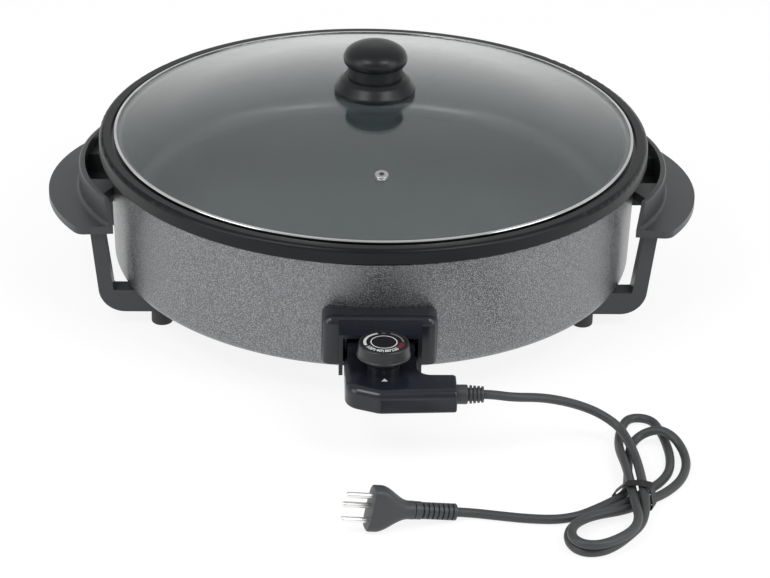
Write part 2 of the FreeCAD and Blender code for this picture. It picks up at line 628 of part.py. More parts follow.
def contact_sockets():
    sockets = []
    for side in (-1, 1):
        tube = rod(6.8, V(side * PIN_X, -225.5, PROBE_Z), V(side * PIN_X, -206.3, PROBE_Z))
        sockets.append(tube.cut(rod(5.2, V(side * PIN_X, -223.8, PROBE_Z),
                                    V(side * PIN_X, -200, PROBE_Z))))
    return together(sockets)


def contact_carrier():
    """Ceramic block in the nose that holds both sockets and the root of the probe."""
    block = box(-18.5, 18.5, -227, -214, 53, 66)
    for x, d in ((-PIN_X, 6.8), (PIN_X, 6.8), (0, PROBE_D)):
        block = block.cut(rod(d, V(x, -230, PROBE_Z), V(x, -210, PROBE_Z)))
    return block


def switch_frame():
    """Bent steel bracket of the thermostat, standing in the housing under the dial."""
    frame = box(-10, 13, -262, -243, 46.2, 58.6)
    frame = frame.cut(box(-11, 14, -260.8, -244.2, 47.4, 57.4))
    return frame.cut(rod(6.4, V(DIAL_X, DIAL_Y, 56), V(DIAL_X, DIAL_Y, 60)))


def switch_blades():
    lower = box(-9, 12, -256, -250, 49.6, 50.2)
    upper = box(-9, 12, -256, -250, 52.4, 53.0)
    button = rod(4.0, V(-5.5, -253, 50.2), V(-5.5, -253, 52.4))
    stack = box(9, 12, -256, -250, 47.4, 49.6)
    spacer = box(9, 12, -256, -250, 50.2, 52.4)
    return lower.fuse(upper).fuse(button).fuse(stack).fuse(spacer)


def cord_clamp():
    return box(26.5, 32.5, -280.5, -265.5, 46.2, 48.4)


def strain_relief():
    """Rubber sleeve with a collar inside the housing, a smooth root and four ribs."""
    profile = [(-5, 0), (-5, 5.2), (-2.3, 5.2), (-2.3, 4.0), (0.05, 4.0), (0.05, 6.9),
               (7.5, 6.9, 0.8)]
    for k in range(4):
        x = 8.2 + 2.75 * k
        profile += [(x, 4.7), (x + 0.9, 4.7), (x + 0.9, 6.5 - 0.25 * k, 0.4),
                    (x + 2.5, 6.5 - 0.25 * k, 0.4)]
    profile += [(19, 4.6), (19, 0)]
    return turned_along(profile, V(52, CORD_EXIT[1], CORD_EXIT[2]), V(1, 0, 0))


def dial_collar():
    """Fixed bush on the housing, ringed by two ridges, that the dial's spindle turns in."""
    return turned([(3.1, 58.9), (6.0, 58.9), (6.0, 61.02), (11.5, 61.02), (11.5, 65.2),
                   (12.2, 65.6), (12.2, 66.8), (11.5, 67.2), (11.5, 68.4), (12.2, 68.8),
                   (12.2, 70.0), (11.5, 70.4), (11.5, 71.2), (3.1, 71.2)], DIAL_X, DIAL_Y)


def dial_knob():
    """Slightly conical drum with a lip round its foot and a rounded edge round the printed face."""
    return turned([(3.0, DIAL_BOTTOM), (17.4, DIAL_BOTTOM, 0.5), (DIAL_R, DIAL_BOTTOM + 1.2, 0.5),
                   (DIAL_R, DIAL_BOTTOM + 2.0, 0.3), (DIAL_R - 0.5, DIAL_BOTTOM + 2.6, 0.3),
                   (17.7, DIAL_TOP, 1.4), (15.8, DIAL_TOP), (15.8, DIAL_TOP - 0.5),
                   (3.0, DIAL_TOP - 0.5)], DIAL_X, DIAL_Y)


def dial_plate():
    return turned([(0, DIAL_TOP - 0.5), (15.75, DIAL_TOP - 0.5), (15.75, DIAL_TOP - 0.05),
                   (0, DIAL_TOP - 0.05)], DIAL_X, DIAL_Y)


def dial_spindle():
    pin = turned([(0, 53.4), (2.95, 53.4), (2.95, DIAL_TOP - 0.5), (0, DIAL_TOP - 0.5)],
                 DIAL_X, DIAL_Y)
    return pin.cut(box(DIAL_X + 1.8, DIAL_X + 5, DIAL_Y - 5, DIAL_Y + 5, 74, 90))


# Cord

def bends(points):
    """For each inner point: where its arc starts, passes and ends, and the arc's radius."""
    found = []
    for before, here, after in zip(points, points[1:], points[2:]):
        u, v = before - here, after - here
        shorter = min(u.Length, v.Length)
        u, v = V(u).normalize(), V(v).normalize()
        half = math.acos(max(-1, min(1, u.dot(v)))) / 2
        radius = 0.45 * shorter * math.tan(half)
        inward = (u + v).normalize()
        centre = here + inward * (radius / math.sin(half))
        found.append((here + u * 0.45 * shorter, centre - inward * radius,
                      here + v * 0.45 * shorter, radius))
    return found


def route_wire(points):
    edges, at = [], points[0]
    for start, middle, end, _ in bends(points):
        edges.append(Part.LineSegment(at, start).toShape())
        edges.append(Part.Arc(start, middle, end).toShape())
        at = end
    edges.append(Part.LineSegment(at, points[-1]).toShape())
    return Part.Wire(edges)


def halfway(a, b):
    return (a + b) * 0.5


def cord_points():
    """The route, with its last run brought onto the plug's axis."""
    return [V(*q) for q in CORD_ROUTE[:-2]] + [PLUG_END + PLUG_AXIS * 11.9, PLUG_END]


def cord_stretches():
    """The free lead, the tied bundle and the tail, divided in the middle of straight runs."""
    p = cord_points()
    first_cut = halfway(p[LEAD_LAST], p[LEAD_LAST + 1])
    second_cut = halfway(p[BUNDLE_LAST], p[BUNDLE_LAST + 1])
    return (p[:LEAD_LAST + 1] + [first_cut],
            [first_cut] + p[LEAD_LAST + 1:BUNDLE_LAST + 1] + [second_cut],
            [second_cut] + p[BUNDLE_LAST + 1:])


def tube(points):
    wire = route_wire(points)
    direction = points[1] - points[0]
    section = Part.Wire(Part.makeCircle(CORD_D / 2, points[0], direction))
    solid = wire.makePipeShell([section], True, False)
    expected = math.pi * (CORD_D / 2) ** 2 * wire.Length
    print("tube length", round(wire.Length, 1), "volume ratio", round(solid.Volume / expected, 4),
          "radii", [round(b[3], 1) for b in bends(points)])
    return solid


def least_gap(points):
    """Least clearance of the tube to itself, between places over two and a half diameters apart."""
    wire = route_wire(points)
    samples = wire.discretize(Distance=2.0)
    apart = int(2.5 * CORD_D / 2.0) + 1
    least = min((a - b).Length for i, a in enumerate(samples) for b in samples[i + apart:])
    return least - CORD_D


def cord_tie():
    """Flat band drawn tight round the five strands where they cross."""
    along, side = V(0.4226, 0.9063, 0), V(0.9063, -0.4226, 0)
    start = V(176.0, -335.5, 0) - along * (TIE_WIDTH / 2)

    def outline(grow):
        corners = [(-18.2, 0.6, -0.7, -0.7), (10.5, 0.6, 0.7, -0.7), (10.5, 5.5, 1.0, 0.1),
                   (7.8, 18.1, 0.8, 0.9), (-0.8, 18.1, -0.2, 1.0), (-10.6, 14.9, -0.7, 0.8),
                   (-18.2, 5.8, -1.0, 0.3)]
        wire = closed_wire([(u + grow * du, v + grow * dv, 2.5 + grow) for u, v, du, dv in corners],
                           lambda u, v: start + side * u + V(0, 0, v))
        return Part.Face(wire)
    return outline(TIE_T).cut(outline(0)).extrude(along * TIE_WIDTH)


# Plug, in its own frame: X along the cord, Z across the pins

def plug_frame():
    along = PLUG_AXIS
    lean = V(0.21, 0.04, 0.977)
    across_pins = (lean - along * lean.dot(along)).normalize()
    side = across_pins.cross(along)
    return FreeCAD.Placement(PLUG_FACE, FreeCAD.Rotation(along, side, across_pins, "XZY"))


def placed(shape):
    shape.Placement = plug_frame().multiply(shape.Placement)
    return shape


def plug_section(x, half_width, half_thick):
    """Six-sided section with its narrow ends bevelled."""
    bevel = 0.62 * half_width
    flat = 0.36 * half_thick
    corners = [(half_thick, -bevel), (half_thick, bevel), (flat, half_width), (-flat, half_width),
               (-half_thick, bevel), (-half_thick, -bevel), (-flat, -half_width), (flat, -half_width)]
    points = [V(x, y, z) for y, z in corners]
    return Part.makePolygon(points + [points[0]])


def plug_body():
    stations = [(0, 16.2, 7.2), (1.5, 16.6, 7.6), (9, 16.6, 7.9), (14, 14.2, 7.8), (20, 10.0, 7.2),
                (26, 7.4, 6.8), (32, 6.4, 6.3)]
    return placed(Part.makeLoft([plug_section(*s) for s in stations], True, True))


def plug_pins():
    half = PIN_SPACING / 2
    pins = [turned_along([(0, 0), (0, 2.0), (18.5, 2.0, 1.4), (18.5, 0)], V(0, y, z), V(-1, 0, 0))
            for y, z in ((0, half), (0, -half), (3.5, 0))]
    return placed(together(pins))


def plug_relief():
    """Ribbed sleeve moulded on the cord behind the plug."""
    length = (PLUG_END - PLUG_FACE).Length
    profile = [(32, 0), (32, 6.2), (36.5, 6.2)]
    pitch = (length - 37.0) / 7
    for k in range(7):
        x = 37.0 + pitch * k
        profile += [(x, 4.6), (x + 0.3 * pitch, 4.6), (x + 0.3 * pitch, 5.8), (x + 0.95 * pitch, 5.8)]
    profile += [(length, 5.0), (length, 0)]
    return placed(turned_along(profile, V(0, 0, 0), V(1, 0, 0)))


# Everything to files

os.makedirs("parts", exist_ok=True)

envelope = shell_envelope()
right = handle_right(envelope)
front_leg = leg_front_right(right)
front_foot = foot_front_right()
lead, bundle, tail = cord_stretches()

save("cooking_pan", cooking_pan())
save("hammered_shell", hammered_shell())
save("rim_collar", rim_collar())
save("base_cover", base_cover())
save("cover_screws", cover_screws())
save("heating_element", heating_element())
save("element_clips", element_clips())
save("terminal_pins", terminal_pins())
save("sensor_well", sensor_well())
save("inlet_insulator", inlet_insulator())
save("earth_contact", earth_contact())
save("socket_guard", socket_guard())
save("guard_screws", guard_screws())
save("handle_right", right)
save("handle_left", mirrored_x(right))
save("handle_screws", handle_screws())
save("leg_front_right", front_leg)
save("leg_front_left", mirrored_x(front_leg))
save("leg_rear_right", mirrored_y(front_leg))
save("leg_rear_left", mirrored_x(mirrored_y(front_leg)))
save("foot_front_right", front_foot)
save("foot_front_left", mirrored_x(front_foot))
save("foot_rear_right", mirrored_y(front_foot))
save("foot_rear_left", mirrored_x(mirrored_y(front_foot)))
save("leg_screws", leg_screws())
save("leg_nuts", leg_nuts())

save("lid_glass", lid_glass())
save("lid_ring", lid_ring())
save("vent_grommet", vent_grommet())
save("knob_gasket", knob_gasket())
save("knob_neck", knob_neck())
save("knob_cap", knob_cap())
save("knob_screw", knob_screw())
save("knob_washer", knob_washer())

save("controller_cover", controller_cover())
save("controller_base", controller_base())
save("housing_screws", housing_screws())
save("probe_rod", probe_rod())
save("contact_sockets", contact_sockets())
save("contact_carrier", contact_carrier())
save("switch_frame", switch_frame())
save("switch_blades", switch_blades())
save("cord_clamp", cord_clamp())
save("strain_relief", strain_relief())
save("dial_collar", dial_collar())
save("dial_knob", dial_knob())
save("dial_plate", dial_plate())
save("dial_spindle", dial_spindle())

save("cord_lead", tube(lead))
save("cord_bundle", tube(bundle))
save("cord_tail", tube(tail))
print("least gap in the bundle", round(least_gap(bundle), 2))
print("whole cord", round(route_wire(cord_points()).Length, 1))
save("cord_tie", cord_tie())
save("plug_body", plug_body())
save("plug_pins", plug_pins())
save("plug_relief", plug_relief())
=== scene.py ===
import math
import bpy
import bmesh
from mathutils import Matrix, Vector


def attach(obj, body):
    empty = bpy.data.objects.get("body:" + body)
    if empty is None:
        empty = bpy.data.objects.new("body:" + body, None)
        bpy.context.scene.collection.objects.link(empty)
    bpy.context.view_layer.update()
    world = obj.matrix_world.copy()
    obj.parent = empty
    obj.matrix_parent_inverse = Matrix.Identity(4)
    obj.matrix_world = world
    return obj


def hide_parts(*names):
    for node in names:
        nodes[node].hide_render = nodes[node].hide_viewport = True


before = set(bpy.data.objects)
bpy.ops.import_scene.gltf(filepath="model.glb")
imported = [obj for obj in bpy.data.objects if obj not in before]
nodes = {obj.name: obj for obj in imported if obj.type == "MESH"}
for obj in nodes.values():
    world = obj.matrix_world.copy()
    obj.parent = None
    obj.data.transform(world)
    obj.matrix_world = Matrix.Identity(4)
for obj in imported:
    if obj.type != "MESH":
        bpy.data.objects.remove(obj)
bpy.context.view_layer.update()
shop = bpy.context.scene
shop.view_settings.view_transform = "Standard"

# Camera
# Stands two metres in front of the pan, a little left of it, and looks down at 27 degrees through a
# long lens.
eye = bpy.data.objects.new("camera", bpy.data.cameras.new("camera"))
shop.collection.objects.link(eye)
look = Vector((0.036215, 0.890271, -0.453990))
aside = Vector((0.999324, -0.029367, 0.022128))
upward = aside.cross(look).normalized()
aside = look.cross(upward).normalized()
eye.matrix_world = Matrix.Translation((-0.07024, -2.01142, 1.02041)) @ Matrix(
    (aside, upward, -look)).transposed().to_4x4()
eye.data.sensor_width = 36.0
eye.data.lens = 133.84
eye.data.clip_start = 0.05
shop.camera = eye

# Supply cord
# Round PVC-sheathed lead, 6.5 mm thick, tied in two loops after its first stretch and ending in the
# plug. It leaves the thermostat to the right and lies on the table in front.


mm = 0.001


def material(name, colour, roughness, metallic=0.0, specular=0.5):
    """Plain Principled material with its constant values."""
    made = bpy.data.materials.new(name)
    made.use_nodes = True
    skin = made.node_tree.nodes["Principled BSDF"]
    skin.inputs["Base Color"].default_value = (*colour, 1.0)
    skin.inputs["Roughness"].default_value = roughness
    skin.inputs["Metallic"].default_value = metallic
    skin.inputs["Specular IOR Level"].default_value = specular
    return made


def new_group(name, inputs, outputs):
    """Empty shader group with named float, colour or vector sockets."""
    group = bpy.data.node_groups.new(name, "ShaderNodeTree")
    for label, kind, value in inputs:
        socket = group.interface.new_socket(label, in_out="INPUT", socket_type=kind)
        socket.default_value = value
    for label, kind in outputs:
        group.interface.new_socket(label, in_out="OUTPUT", socket_type=kind)
    return group, group.nodes.new("NodeGroupInput"), group.nodes.new("NodeGroupOutput")


# Moulded grain: a fine bump with a slow change of colour and gloss, for every moulded, coated or
# plated part.
grain, grain_in, grain_out = new_group(
    "moulded_grain",
    [("Colour", "NodeSocketColor", (0.05, 0.05, 0.05, 1)), ("Pale", "NodeSocketFloat", 0.15),
     ("Roughness", "NodeSocketFloat", 0.4), ("Uneven", "NodeSocketFloat", 0.08),
     ("Scale", "NodeSocketFloat", 900.0), ("Depth", "NodeSocketFloat", 0.1)],
    [("Colour", "NodeSocketColor"), ("Roughness", "NodeSocketFloat"),
     ("Normal", "NodeSocketVector")])
place = grain.nodes.new("ShaderNodeTexCoord")
slow = grain.nodes.new("ShaderNodeTexNoise")
slow.inputs["Scale"].default_value = 22.0
slow.inputs["Detail"].default_value = 4.0
fine = grain.nodes.new("ShaderNodeTexNoise")
fine.inputs["Detail"].default_value = 2.0
shade = grain.nodes.new("ShaderNodeHueSaturation")
value_range = grain.nodes.new("ShaderNodeMapRange")
gloss_range = grain.nodes.new("ShaderNodeMapRange")
pale_low = grain.nodes.new("ShaderNodeMath")
pale_low.operation = "SUBTRACT"
pale_low.inputs[0].default_value = 1.0
pale_high = grain.nodes.new("ShaderNodeMath")
pale_high.operation = "ADD"
pale_high.inputs[0].default_value = 1.0
rough_low = grain.nodes.new("ShaderNodeMath")
rough_low.operation = "SUBTRACT"
rough_high = grain.nodes.new("ShaderNodeMath")
rough_high.operation = "ADD"
relief = grain.nodes.new("ShaderNodeBump")
relief.inputs["Distance"].default_value = 0.0002
for a, b in (
        (place.outputs["Object"], slow.inputs["Vector"]),
        (place.outputs["Object"], fine.inputs["Vector"]),
        (grain_in.outputs["Scale"], fine.inputs["Scale"]),
        (grain_in.outputs["Pale"], pale_low.inputs[1]),
        (grain_in.outputs["Pale"], pale_high.inputs[1]),
        (slow.outputs["Fac"], value_range.inputs["Value"]),
        (pale_low.outputs[0], value_range.inputs["To Min"]),
        (pale_high.outputs[0], value_range.inputs["To Max"]),
        (value_range.outputs[0], shade.inputs["Value"]),
        (grain_in.outputs["Colour"], shade.inputs["Color"]),
        (grain_in.outputs["Roughness"], rough_low.inputs[0]),
        (grain_in.outputs["Uneven"], rough_low.inputs[1]),
        (grain_in.outputs["Roughness"], rough_high.inputs[0]),
        (grain_in.outputs["Uneven"], rough_high.inputs[1]),
        (slow.outputs["Fac"], gloss_range.inputs["Value"]),
        (rough_low.outputs[0], gloss_range.inputs["To Min"]),
        (rough_high.outputs[0], gloss_range.inputs["To Max"]),
        (fine.outputs["Fac"], relief.inputs["Height"]),
        (grain_in.outputs["Depth"], relief.inputs["Strength"]),
        (shade.outputs["Color"], grain_out.inputs["Colour"]),
        (gloss_range.outputs[0], grain_out.inputs["Roughness"]),
        (relief.outputs["Normal"], grain_out.inputs["Normal"])):
    grain.links.new(a, b)
value_range.inputs["From Min"].default_value = 0.3
value_range.inputs["From Max"].default_value = 0.7
gloss_range.inputs["From Min"].default_value = 0.3
gloss_range.inputs["From Max"].default_value = 0.7


def grained(name, colour, roughness, scale=900.0, depth=0.1, pale=0.12, uneven=0.05, **rest):
    """Material whose colour, roughness and normal come from the moulded grain."""
    made = material(name, colour, roughness, **rest)
    tree = made.node_tree
    skin = tree.nodes["Principled BSDF"]
    effect = tree.nodes.new("ShaderNodeGroup")
    effect.node_tree = grain
    effect.inputs["Colour"].default_value = (*colour, 1.0)
    effect.inputs["Roughness"].default_value = roughness
    effect.inputs["Scale"].default_value = scale
    effect.inputs["Depth"].default_value = depth
    effect.inputs["Pale"].default_value = pale
    effect.inputs["Uneven"].default_value = uneven
    tree.links.new(effect.outputs["Colour"], skin.inputs["Base Color"])
    tree.links.new(effect.outputs["Roughness"], skin.inputs["Roughness"])
    tree.links.new(effect.outputs["Normal"], skin.inputs["Normal"])
    return made


def finish_node(name, skin):
    """Gives a node of the frame its material."""
    mesh = nodes[name].data
    mesh.materials.clear()
    mesh.materials.append(skin)


cord_skin = grained("cord_sheath", (0.05, 0.052, 0.054), 0.48, scale=2500.0, depth=0.15)
cord_width = 0.0065
cord_route = [
    (71, -273, 52), (77, -273, 52), (91, -273.8, 50.3), (111, -267, 46.5), (127.5, -258, 39),
    (143, -249.5, 30), (157, -245, 21.3), (170, -250, 14), (175, -265.5, 11.5),
    (177.5, -283, 11.5), (178.5, -303, 12.5), (178.3, -323.5, 14.3), (178, -340, 14.6),
    (178.4, -353, 9.8), (175, -365, 3.9), (165, -379, 3.3), (155, -391.3, 3.3),
    (144.3, -399.7, 3.3), (132.3, -401, 3.3), (124, -392.5, 3.3), (122.8, -378, 3.3),
    (129, -366, 4.4), (140.5, -357.3, 4.9), (154.8, -347.6, 4.3), (169, -337, 4.4),
    (181.5, -323.5, 4.2), (193, -311, 3.3), (201.5, -295.5, 3.3), (204.5, -276.5, 3.3),
    (204, -257, 3.3), (202, -239.5, 3.3), (197, -220.5, 3.3), (180.5, -218.5, 3.3),
    (173, -237, 3.3), (169.5, -257.5, 4), (168.5, -279, 9.1), (170, -300, 11.4),
    (170.6, -320, 11.6), (170.8, -338, 11.8), (171.2, -355, 12), (171.9, -369.5, 11.3),
    (167, -383.5, 10.6), (155, -395.5, 10.5), (142, -403, 10.5), (130.5, -402, 10.5),
    (124, -393, 10.5), (125.5, -380, 10.6), (134, -369.3, 10.1), (147, -360.8, 8.9),
    (159.5, -353.3, 6.4), (171, -344.5, 4.4), (183.5, -335, 4.4), (196.5, -323, 3.3),
    (208.5, -307, 3.3), (215, -286.5, 3.3), (214.5, -269, 5.1), (208.5, -258, 10.4),
    (199, -252, 12.8), (190, -249, 8.5), (183, -251.5, 5), (178.5, -259, 3.3),
    (176, -270, 3.3), (173.5, -285, 3.3), (171.5, -304, 3.3), (168.3, -326, 4.1),
    (157.5, -336.8, 4.1), (144.4, -346.3, 3.3), (132, -355, 3.3), (117, -359.3, 3.3),
    (98.5, -358.3, 3.3), (79.5, -354.8, 3.3), (59.8, -351, 3.5), (48.5, -354, 5.9)]
line = bpy.data.curves.new("supply_cord", "CURVE")
line.dimensions = "3D"
run = line.splines.new("NURBS")
run.points.add(len(cord_route) - 1)
for point, spot in zip(run.points, cord_route):
    point.co = (*(mm * s for s in spot), 1.0)
run.order_u = 3
run.use_endpoint_u = True
run.resolution_u = 10
line.bevel_depth = cord_width / 2
line.bevel_resolution = 6
line.use_fill_caps = True
line.materials.append(cord_skin)
supply_cord = bpy.data.objects.new("supply_cord", line)
shop.collection.objects.link(supply_cord)
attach(supply_cord, "thermostat")
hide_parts("cord_lead", "cord_bundle", "cord_tail")

# Plug
# Rubber three-pin mains plug moulded on the cord, with plated brass pins and a ribbed sleeve. It
# stands on its narrow end, and its broad sides sweep in to the sleeve.


def finished(name, shape, skin, body, smooth=True):
    """Turns a bmesh into an object of the given body."""
    bmesh.ops.recalc_face_normals(shape, faces=shape.faces)
    for face in shape.faces:
        face.smooth = smooth
    mesh = bpy.data.meshes.new(name)
    shape.to_mesh(mesh)
    shape.free()
    mesh.materials.append(skin)
    piece = bpy.data.objects.new(name, mesh)
    shop.collection.objects.link(piece)
    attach(piece, body)
    return piece


def eased(t):
    """Smooth step from 0 to 1, level at both ends."""
    t = min(1.0, max(0.0, t))
    return t * t * (3.0 - 2.0 * t)


def plug_shape():
    """Rounded sections along the plug's own axis, with a flat face that has a soft edge."""
    face_centre = Vector((-0.0103, -0.3697, 0.0183))
    sleeve_start = Vector((0.0485, -0.354, 0.0059))
    lean = Vector((0.21, 0.04, 0.977))
    edge_round, taper = 1.2, 22.0
    neck_half_wide, more_at_face_wide = 6.4, 10.1
    neck_half_thick, more_at_face_thick = 6.3, 1.5
    turns = 48
    along = (sleeve_start - face_centre).normalized()
    wide = (lean - along * lean.dot(along)).normalized()
    thick = wide.cross(along)
    shape = bmesh.new()
    rings = []
    near_face = (0.0, 0.15, 0.5, 1.0, 1.7)
    for x in (*near_face, *(2.5 + 0.85 * k for k in range(35))):
        edge = edge_round * (1.0 - math.sqrt(1.0 - (1.0 - min(1.0, x / edge_round)) ** 2))
        half_wide = neck_half_wide + more_at_face_wide * (1.0 - eased((x - 6.0) / taper)) - edge
        half_thick = neck_half_thick + more_at_face_thick * (1.0 - eased((x - 8.0) / taper)) - edge
        square = 3.4 - 1.4 * eased((x - 4.0) / taper)
        ring = []
        for k in range(turns):
            c, d = math.cos(math.tau * k / turns), math.sin(math.tau * k / turns)
            u = math.copysign(abs(c) ** (2.0 / square), c) * half_wide
            v = math.copysign(abs(d) ** (2.0 / square), d) * half_thick
            ring.append(shape.verts.new(face_centre + mm * (along * x + wide * u + thick * v)))
        rings.append(ring)
    for first, second in zip(rings, rings[1:]):
        for k in range(turns):
            shape.faces.new((first[k], first[(k + 1) % turns], second[(k + 1) % turns], second[k]))
    for ring in (rings[0], rings[-1]):
        shape.faces.new(ring)
    return shape


plug_skin = grained("plug_rubber", (0.045, 0.048, 0.052), 0.40, scale=1800.0, depth=0.12)
pin_metal = grained("plated_pin", (0.93, 0.92, 0.90), 0.36, metallic=1.0, scale=400.0,
                    depth=0.03)
plug_grip = finished("plug_grip", plug_shape(), plug_skin, "thermostat")
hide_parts("plug_body")
finish_node("plug_relief", plug_skin)
finish_node("plug_pins", pin_metal)
finish_node("cord_tie", grained("tie_band", (0.010, 0.010, 0.011), 0.55))

# Cooking pan
# Die-cast aluminium dish with a satin grey non-stick coat. Its flange lies on the shell's top edge
# under the rim.
finish_node("cooking_pan", grained("nonstick", (0.040, 0.049, 0.055), 0.34, scale=600.0, depth=0.02,
                                   pale=0.05, uneven=0.03))

# Outer shell
# Pressed steel wall under a hammered enamel: small bright blisters on a dark grey ground.


def hammered_finish():
    """Rounded cells of uneven outline that are brighter and higher than the ground between them."""
    made = material("hammered_enamel", (0.25, 0.25, 0.26), 0.31, metallic=0.88)
    tree = made.node_tree
    skin = tree.nodes["Principled BSDF"]
    spot = tree.nodes.new("ShaderNodeTexCoord")
    warp = tree.nodes.new("ShaderNodeTexNoise")
    warp.inputs["Scale"].default_value = 900.0
    shift = tree.nodes.new("ShaderNodeVectorMath")
    shift.operation = "MULTIPLY_ADD"
    shift.inputs[1].default_value = (0.0012, 0.0012, 0.0012)
    cells = tree.nodes.new("ShaderNodeTexVoronoi")
    cells.feature = "SMOOTH_F1"
    cells.inputs["Scale"].default_value = 1050.0
    cells.inputs["Smoothness"].default_value = 0.5
    tone = tree.nodes.new("ShaderNodeMapRange")
    tone.inputs["From Min"].default_value = 0.10
    tone.inputs["From Max"].default_value = 0.55
    tone.inputs["To Min"].default_value = 1.0
    tone.inputs["To Max"].default_value = 0.0
    ramp = tree.nodes.new("ShaderNodeMix")
    ramp.data_type = "RGBA"
    ramp.inputs["A"].default_value = (0.17, 0.173, 0.18, 1)
    ramp.inputs["B"].default_value = (0.42, 0.427, 0.44, 1)
    raised = tree.nodes.new("ShaderNodeBump")
    raised.inputs["Strength"].default_value = 0.5
    raised.inputs["Distance"].default_value = 0.00025
    for a, b in ((spot.outputs["Object"], warp.inputs["Vector"]),
                 (warp.outputs["Color"], shift.inputs[0]),
                 (spot.outputs["Object"], shift.inputs[2]),
                 (shift.outputs["Vector"], cells.inputs["Vector"]),
                 (cells.outputs["Distance"], tone.inputs["Value"]),
                 (tone.outputs[0], ramp.inputs["Factor"]),
                 (ramp.outputs["Result"], skin.inputs["Base Color"]),
                 (tone.outputs[0], raised.inputs["Height"]),
                 (raised.outputs["Normal"], skin.inputs["Normal"])):
        tree.links.new(a, b)
    return made


finish_node("hammered_shell", hammered_finish())

# Rim collar
# Moulded ring of black heat-resistant plastic. It covers the joint of the pan's flange and the shell
# and stands round the lid.
finish_node("rim_collar", grained("rim_black", (0.006, 0.007, 0.008), 0.33, depth=0.05, uneven=0.04,
                                  specular=0.25))

# Base cover and heater
# Galvanised sheet screwed on under the pan. The tubular element, its saddles and the sensor well
# lie above it, and the terminals pass a ceramic block.
sheet_steel = grained("galvanised", (0.45, 0.46, 0.47), 0.42, metallic=1.0, scale=120.0,
                      depth=0.05, pale=0.25, uneven=0.12)
plain_steel = grained("plated_steel", (0.62, 0.62, 0.63), 0.3, metallic=1.0, scale=500.0,
                      depth=0.05)
ceramic = grained("glazed_ceramic", (0.75, 0.73, 0.68), 0.25)
finish_node("base_cover", sheet_steel)
for hidden in ("cover_screws", "element_clips", "sensor_well", "earth_contact", "guard_screws",
               "handle_screws", "leg_screws", "leg_nuts", "terminal_pins", "heating_element"):
    finish_node(hidden, plain_steel)
finish_node("inlet_insulator", ceramic)

# Socket guard
# Glossy black moulding with rounded edges, screwed to the front of the shell. It hoods the
# terminals where the thermostat plugs in.
housing_skin = grained("housing_black", (0.012, 0.014, 0.020), 0.23, depth=0.04, uneven=0.03)
finish_node("socket_guard", housing_skin)

# Handles, legs and feet
# Black phenolic mouldings: a flat wing with a raised bow on each side, and four J-shaped legs with
# rubber feet.
handle_skin = grained("handle_black", (0.042, 0.045, 0.048), 0.38)
foot_skin = grained("foot_rubber", (0.03, 0.03, 0.03), 0.6)
for side in ("left", "right"):
    finish_node("handle_" + side, handle_skin)
    for end in ("front", "rear"):
        finish_node("leg_" + end + "_" + side, handle_skin)
        finish_node("foot_" + end + "_" + side, foot_skin)

# Lid
# Dome of tempered glass in a folded band of stainless steel that rests on the pan's flange. A
# plated eyelet near the front lets steam out, and a washer, a gasket and a screw hold the knob.


def clear_glass():
    """Clear glass whose shadow is only a faint tint, so that light reaches the pan."""
    made = material("lid_glass", (0.93, 0.96, 0.95), 0.0)
    tree = made.node_tree
    skin = tree.nodes["Principled BSDF"]
    skin.inputs["Transmission Weight"].default_value = 1.0
    skin.inputs["IOR"].default_value = 1.5
    open_way = tree.nodes.new("ShaderNodeBsdfTransparent")
    open_way.inputs["Color"].default_value = (0.88, 0.92, 0.90, 1)
    rays = tree.nodes.new("ShaderNodeLightPath")
    choice = tree.nodes.new("ShaderNodeMixShader")
    out = tree.nodes["Material Output"]
    tree.links.new(rays.outputs["Is Shadow Ray"], choice.inputs[0])
    tree.links.new(skin.outputs[0], choice.inputs[1])
    tree.links.new(open_way.outputs[0], choice.inputs[2])
    tree.links.new(choice.outputs[0], out.inputs["Surface"])
    return made


def dome_ring(shape):
    """Outline of the glass, turned round the axis: a ball's cap that eases into a flatter edge.
    Radii and heights are in millimetres."""
    ball, apex, flatter_from, edge_z, edge_r, thick = 574.1, 165.0, 150.0, 132.7, 197.9, 3.5
    bore_r, easing, steps_out = 3.2, 0.00104, 96
    top = []
    for k in range(steps_out + 1):
        r = bore_r + (edge_r - bore_r) * k / steps_out
        lift = easing * max(0.0, r - flatter_from) ** 2
        top.append((r, max(edge_z, apex - ball + math.sqrt(ball ** 2 - r ** 2) + lift)))
    outline = top + [(r, z - thick) for r, z in reversed(top)]
    corners = [shape.verts.new((mm * r, 0.0, mm * z)) for r, z in outline]
    edges = [shape.edges.new((a, b)) for a, b in zip(corners, corners[1:] + corners[:1])]
    bmesh.ops.spin(shape, geom=corners + edges, cent=(0, 0, 0), axis=(0, 0, 1), angle=math.tau,
                   steps=256, use_merge=True, use_duplicate=False)
    return shape


lid_dome = finished("lid_dome", dome_ring(bmesh.new()), clear_glass(), "lid")
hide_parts("lid_glass")
finish_node("lid_ring", grained("stainless_band", (0.78, 0.78, 0.78), 0.16, metallic=1.0,
                                scale=300.0, depth=0.03))
for fitting in ("vent_grommet", "knob_screw", "knob_washer"):
    finish_node(fitting, plain_steel)
finish_node("knob_gasket", foot_skin)

# Knob
# Black phenolic knob in two mouldings, a flared foot with a waist under a mushroom cap, held by one
# screw from inside the lid.
knob_skin = grained("knob_black", (0.007, 0.009, 0.010), 0.34, depth=0.04, specular=0.35)
finish_node("knob_neck", knob_skin)
finish_node("knob_cap", knob_skin)

